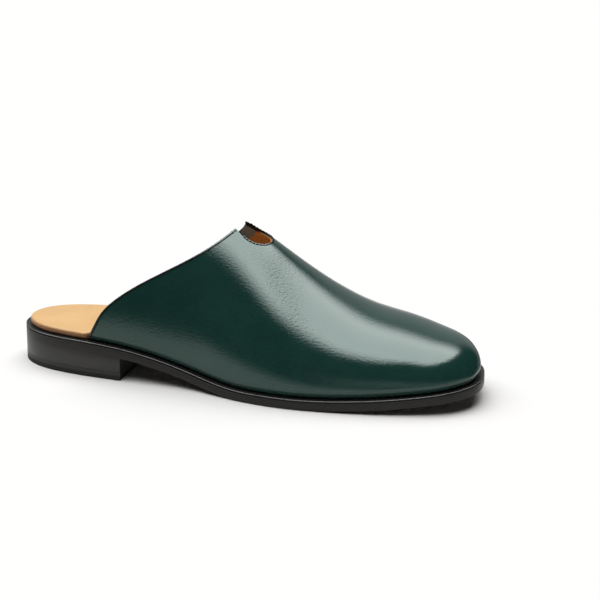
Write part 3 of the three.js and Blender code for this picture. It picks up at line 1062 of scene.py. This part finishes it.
def make_outsole():
    rings = rounded_edge(flat(0), underside, outsole_top, outsole_round, flat(SEAM))
    piece = slab("outsole_leather", rings)
    dress(piece, "sole_leather", SOLE_EDGE, SOLE_UNDER, replaces=["outsole"])
    looks_down = -0.9
    for polygon in piece.data.polygons:
        if polygon.normal.z < looks_down:
            polygon.material_index = 1


def heel_part(name, low, high, radius):
    end = float(station_of(HEEL_LENGTH / SOLE_LENGTH))
    rings = rounded_edge(flat(0), low, high, flat(radius), flat(radius), HEEL_ROUND_STEPS)
    return slab(name, rings, end, HEEL_STATIONS)


def make_heel():
    top_piece = heel_part("heel_top_piece", flat(0), flat(TOP_PIECE_THICKNESS), TOP_PIECE_ROUND)
    dress(top_piece, "heel_rubber", HEEL_RUBBER, replaces=["top_piece"])
    lifts = heel_part("heel_lifts", flat(TOP_PIECE_THICKNESS), underside, SEAM)
    dress(lifts, "heel_leather", HEEL_EDGE, replaces=["heel_stack"])


make_upper()
seam_lines = topline_seams()
make_topline_stitches(seam_lines)
make_stitch_groove_shade(seam_lines)
make_insole()
make_welt()
make_welt_stitches()
make_outsole()
make_heel()


# Studio, in metres: a camera at the photograph's angle
PHOTO_SIZE = 600
CAMERA_TURN = math.radians(17.46)
CAMERA_RISE = math.radians(18.52)
CAMERA_DISTANCE = 1.358
PIXELS_PER_MM = 1.59
AIM_ACROSS = -0.0316
AIM_UP = -0.0475
SENSOR = 36

# Floor: its colour for the camera, and its colours for all other rays, out of the lamp's reach and within it
FLOOR_SIZE = 8
PAPER_SEEN = (0.785, 0.78, 0.768, 1)
PAPER_BOUNCED = (0.01, 0.01, 0.01), (0.80, 0.80, 0.785)
FRONT_SLANT = -0.19
FRONT_DARK_Y = -0.293
FRONT_LIT_Y = -0.147
TOE_SHADE = 0.8
TOE_SHADE_X = (-0.02, 0.04)
TOE_SHADE_Y = (0.05, 0.09)

# Soft box overhead: each straight edge as its outward turn from +X in degrees, its slope to Z and its blur
BOX_EDGES = [
    (-109, 0.66, 0.36),
    (-19.5, 0.41, 0.03),
    (112, 0.88, 0.4),
    (-5, 0.53, 0.05),
    (180, 1.6, 0.2),
]
BOX_STRENGTH = 10.2
BOX_SLANT_X = 0.3
BOX_SLANT_Y = -1.9
LOWEST_Z = 0.02
HORIZON_Z = (0.02, 0.1)

# A pale wall behind, fading towards the front, upwards and to the right
WALL_STRENGTH = 0.6
WALL_Y = (-0.06, 0.34)
WALL_Z = (0.72, 0.52)
WALL_X = (0.35, 0.15)

# A bright strip low in front, fading to the left and upwards
STRIP_STRENGTH = 0.95
STRIP_X = (-0.2, 0.2)
STRIP_Z = (0.29, 0)

# What the camera sees behind the shoe, and the share of the light that soft reflections get
BACKDROP_STRENGTH = 1.1
SOFT_SHARE = 0.42


def show_by_ray(nodes, links, seen, other, output):
    """Link one shader to the output for camera rays, and another for all other rays."""
    path = nodes.new("ShaderNodeLightPath")
    mix = nodes.new("ShaderNodeMixShader")
    links.new(path.outputs["Is Camera Ray"], mix.inputs["Fac"])
    links.new(other, mix.inputs[1])
    links.new(seen, mix.inputs[2])
    links.new(mix.outputs["Shader"], output.inputs["Surface"])


def paper():
    """White paper that looks even to the camera and lights the shoe as unevenly as a lamp lights it."""
    material, nodes, links, shader = new_material("floor_paper")
    nodes.remove(shader)
    place = axes(nodes, links)
    slant = combine(nodes, links, "MULTIPLY", place["X"], FRONT_SLANT)
    slanted = combine(nodes, links, "ADD", place["Y"], slant)
    lit = spread(nodes, links, slanted, 0, 1, FRONT_DARK_Y, FRONT_LIT_Y)
    beyond_toe = combine(
        nodes, links, "MULTIPLY",
        spread(nodes, links, place["Y"], 0, 1, *TOE_SHADE_Y),
        spread(nodes, links, place["X"], 0, TOE_SHADE, *TOE_SHADE_X))
    open_air = combine(nodes, links, "SUBTRACT", 1, beyond_toe)
    lit = combine(nodes, links, "MULTIPLY", lit, open_air)
    seen = nodes.new("ShaderNodeBsdfDiffuse")
    seen.inputs["Color"].default_value = PAPER_SEEN
    bounced = nodes.new("ShaderNodeBsdfDiffuse")
    links.new(ramp(nodes, links, lit, PAPER_BOUNCED, 0, 1), bounced.inputs["Color"])
    show_by_ray(nodes, links, seen.outputs["BSDF"], bounced.outputs["BSDF"], nodes["Material Output"])
    return material


def make_floor():
    half = FLOOR_SIZE / 2
    corners = [(-half, -half, 0), (half, -half, 0), (half, half, 0), (-half, half, 0)]
    mesh = bpy.data.meshes.new("floor")
    mesh.from_pydata(corners, [], [[0, 1, 2, 3]])
    floor = bpy.data.objects.new("floor", mesh)
    bpy.context.scene.collection.objects.link(floor)
    floor.data.materials.append(paper())


def make_sky():
    """Studio light by direction: a soft box overhead, a wall behind and a bright strip low in front."""
    world = bpy.data.worlds.new("studio")
    bpy.context.scene.world = world
    world.use_nodes = True
    nodes = world.node_tree.nodes
    links = world.node_tree.links
    nodes.clear()

    def total(*values):
        return combine(nodes, links, "ADD", *values)

    def product(*values):
        return combine(nodes, links, "MULTIPLY", *values)

    def fade(value, start, end):
        """0 at the start and 1 at the end, eased at both."""
        return spread(nodes, links, value, 0, 1, start, end, eased=True)

    toward = axes(nodes, links, output="Generated")
    high = combine(nodes, links, "MAXIMUM", toward["Z"], LOWEST_Z)
    across = combine(nodes, links, "DIVIDE", toward["X"], high)
    beyond = combine(nodes, links, "DIVIDE", toward["Y"], high)
    box = total(product(across, BOX_SLANT_X), product(beyond, BOX_SLANT_Y), BOX_STRENGTH)
    box = product(box, fade(toward["Z"], *HORIZON_Z))
    for turn, reach, blur in BOX_EDGES:
        angle = math.radians(turn)
        outward = total(product(across, math.cos(angle)), product(beyond, math.sin(angle)))
        box = product(box, fade(outward, reach + blur, reach - blur))
    behind = fade(toward["Y"], *WALL_Y)
    before = combine(nodes, links, "SUBTRACT", 1, behind)
    wall = product(behind, fade(toward["Z"], *WALL_Z), fade(toward["X"], *WALL_X), WALL_STRENGTH)
    strip = product(before, fade(toward["X"], *STRIP_X), fade(toward["Z"], *STRIP_Z), STRIP_STRENGTH)
    path = nodes.new("ShaderNodeLightPath")
    share = total(product(path.outputs["Is Glossy Ray"], 1 - SOFT_SHARE), SOFT_SHARE)
    light = nodes.new("ShaderNodeBackground")
    links.new(product(total(box, wall, strip), share), light.inputs["Strength"])
    backdrop = nodes.new("ShaderNodeBackground")
    backdrop.inputs["Strength"].default_value = BACKDROP_STRENGTH
    output = nodes.new("ShaderNodeOutputWorld")
    show_by_ray(nodes, links, backdrop.outputs["Background"], light.outputs["Background"], output)
    world.cycles.sampling_method = "MANUAL"
    world.cycles.sample_map_resolution = 1024


def make_camera():
    """Camera at the photograph's angle, looking past the shoe's middle as the photograph does."""
    right = Vector((math.cos(CAMERA_TURN), math.sin(CAMERA_TURN), 0))
    back = Vector((
        math.sin(CAMERA_TURN) * math.cos(CAMERA_RISE),
        -math.cos(CAMERA_TURN) * math.cos(CAMERA_RISE),
        math.sin(CAMERA_RISE),
    ))
    up = back.cross(right)
    data = bpy.data.cameras.new("camera")
    camera = bpy.data.objects.new("camera", data)
    bpy.context.scene.collection.objects.link(camera)
    place = back * CAMERA_DISTANCE - right * AIM_ACROSS - up * AIM_UP
    turn = Matrix((right, up, back)).transposed().to_4x4()
    camera.matrix_world = Matrix.Translation(place) @ turn
    data.sensor_width = SENSOR
    data.lens = PIXELS_PER_MM * CAMERA_DISTANCE / MM / PHOTO_SIZE * SENSOR
    bpy.context.scene.camera = camera


make_floor()
make_sky()
make_camera()
bpy.context.scene.view_settings.view_transform = "Standard"

bpy.context.view_layer.update()
